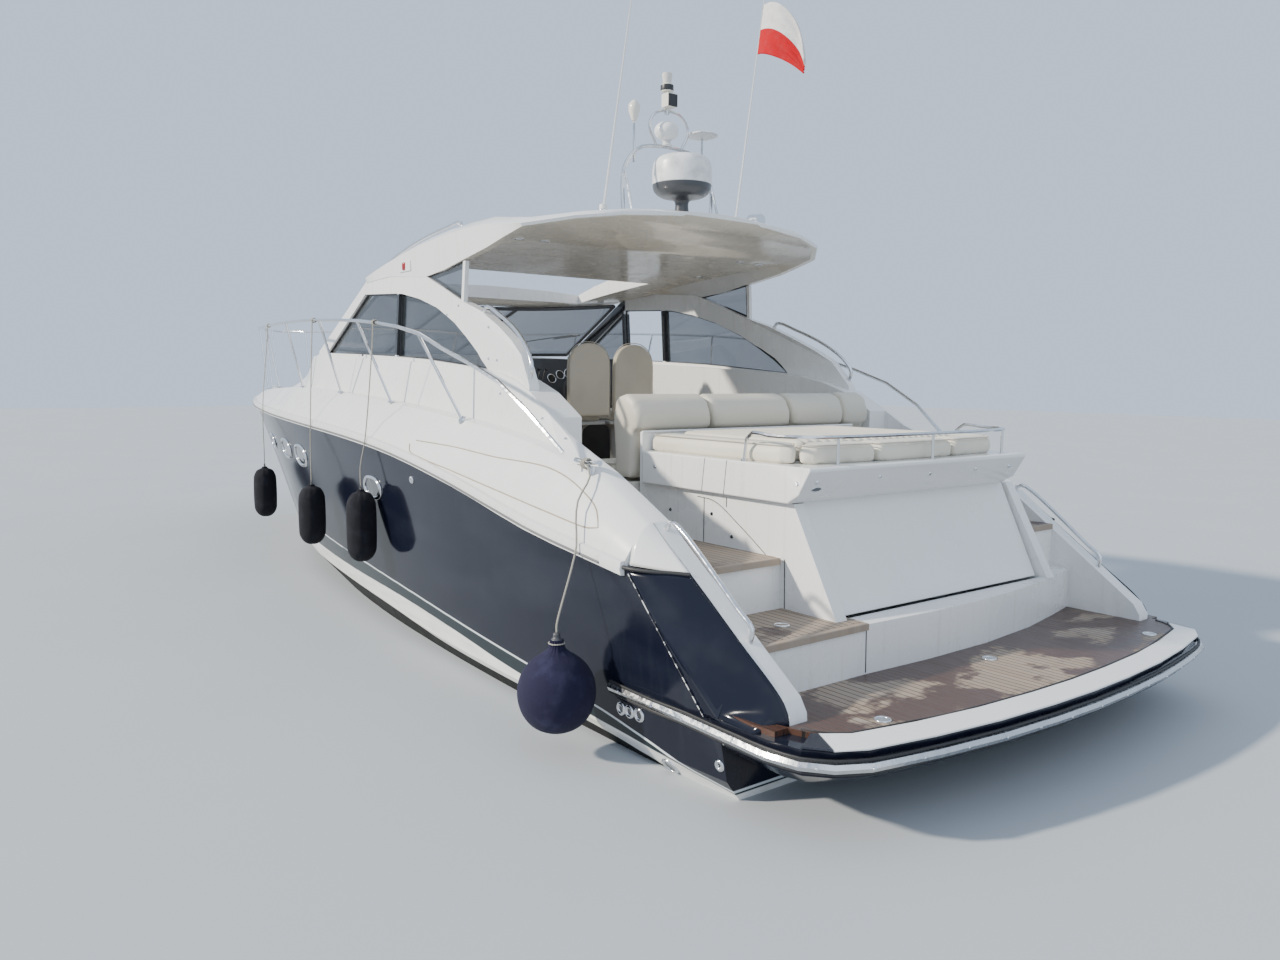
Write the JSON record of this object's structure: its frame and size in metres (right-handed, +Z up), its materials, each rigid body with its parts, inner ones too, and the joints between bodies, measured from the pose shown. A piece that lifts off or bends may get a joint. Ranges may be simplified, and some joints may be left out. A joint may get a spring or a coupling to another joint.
{
  "type": "motor yacht",
  "caption": "Hardtop motor yacht with an open cockpit, sunpad over a garage, bathing platform, bow rail, radar mast, propellers and rudders.",
  "frame": {"origin": "on the centreline at the waterline, about midships", "axes": "+X to the bow, +Y to port, +Z up; the waterline is the plane z = 0"},
  "size_m": [14.287, 4.5907, 6.8905],
  "materials": {
    "topsides": "high gloss",
    "gelcoat": "gloss gelcoat",
    "steel": "polished stainless",
    "teak": "weathered, unfinished",
    "glass": "tinted",
    "black_trim": "satin",
    "vinyl": "matt vinyl",
    "flag_cloth": "woven",
    "engine_paint": "painted",
    "bronze": "cast bronze",
    "rope": "braided",
    "fender_sock": "knitted sock",
    "fender_vinyl": "soft inflated vinyl"
  },
  "bodies": {
    "boat": {"hull": "topsides", "gunwale_strake": "gelcoat", "rub_rail": "steel", "platform_rim": "gelcoat", "platform_teak": "teak", "cockpit_moulding": "gelcoat", "deck_moulding": "gelcoat", "arch_port": "gelcoat", "side_glass_port_fore": "glass", "side_glass_port_aft": "glass", "quarter_glass_port": "glass", "arch_starboard": "gelcoat", "side_glass_starboard_fore": "glass", "side_glass_starboard_aft": "glass", "quarter_glass_starboard": "glass", "hardtop": "gelcoat", "windscreen_glass": "glass", "windscreen_frame": "black_trim", "helm_console": "black_trim", "helm_seat_port": "vinyl", "helm_seat_starboard": "vinyl", "sofa_base": "gelcoat", "sofa_seat": "vinyl", "sofa_backrest": "vinyl", "bow_rail": "steel", "radar_mast": "steel", "radar_dome": "gelcoat", "tv_dome": "gelcoat", "disc_aerial": "gelcoat", "whip_port": "gelcoat", "whip_starboard": "gelcoat", "pennant": "flag_cloth", "searchlight": "steel", "anchor": "steel", "engine_port": "engine_paint", "engine_starboard": "engine_paint", "fender_fore": "fender_sock", "fender_line_fore": "rope", "fender_mid": "fender_sock", "fender_line_mid": "rope", "fender_aft": "fender_sock", "fender_line_aft": "rope", "ball_fender": "fender_vinyl", "fender_line_ball": "rope"},
    "garage_lid": {"garage_hatch": "gelcoat", "sunpad": "vinyl", "sunpad_rail": "steel"},
    "sunroof": {"sunroof_panel": "gelcoat"},
    "door": {"companion_door": "glass"},
    "foredeck_lid": {"foredeck_hatch": "glass"},
    "wheel": {"steering_wheel": "black_trim"},
    "rudder_port_body": {"rudder_port": "bronze"},
    "rudder_starboard_body": {"rudder_starboard": "bronze"},
    "propeller_port_body": {"propeller_port": "bronze"},
    "propeller_starboard_body": {"propeller_starboard": "bronze"}
  },
  "joints": [
    {"name": "garage_lid_hinge", "type": "hinge", "parent": "boat", "child": "garage_lid", "pos_m": [-4.3, 0, 1.8], "axis": [0, 1, 0], "range_deg": [0, 40]},
    {"name": "sunroof_track", "type": "hinge", "parent": "boat", "child": "sunroof", "pos_m": [-3.4, 0, -11.65], "axis": [0, 1, 0], "range_deg": [0, 5.04]},
    {"name": "door_slide", "type": "slide", "parent": "boat", "child": "door", "axis": [0, 1, 0], "range_m": [0, 0.56]},
    {"name": "foredeck_lid_hinge", "type": "hinge", "parent": "boat", "child": "foredeck_lid", "pos_m": [3.7, 0, 2.158], "axis": [0, 1, 0], "range_deg": [0, 70]},
    {"name": "rudder_port_turn", "type": "hinge", "parent": "boat", "child": "rudder_port_body", "pos_m": [-5.8, 0.65, 0], "axis": [0, 0, 1], "range_deg": [-35, 35]},
    {"name": "rudder_starboard_turn", "type": "hinge", "parent": "boat", "child": "rudder_starboard_body", "pos_m": [-5.8, -0.65, 0], "axis": [0, 0, 1], "range_deg": [-35, 35]},
    {"name": "wheel_turn", "type": "hinge", "parent": "boat", "child": "wheel", "pos_m": [-0.93, -0.66, 1.99], "axis": [-0.8829, 0, 0.4695], "range_deg": [-720, 720]},
    {"name": "propeller_port_spin", "type": "hinge", "parent": "boat", "child": "propeller_port_body", "pos_m": [-5.5, 0.65, -0.86], "axis": [0.9781, 0, 0.2079], "continuous": true},
    {"name": "propeller_starboard_spin", "type": "hinge", "parent": "boat", "child": "propeller_starboard_body", "pos_m": [-5.5, -0.65, -0.86], "axis": [0.9781, 0, 0.2079], "continuous": true}
  ],
  "couplings": [
    {"joint": "rudder_starboard_turn", "follows": "rudder_port_turn", "ratio": 1},
    {"joint": "wheel_turn", "follows": "rudder_port_turn", "ratio": -20}
  ]
}
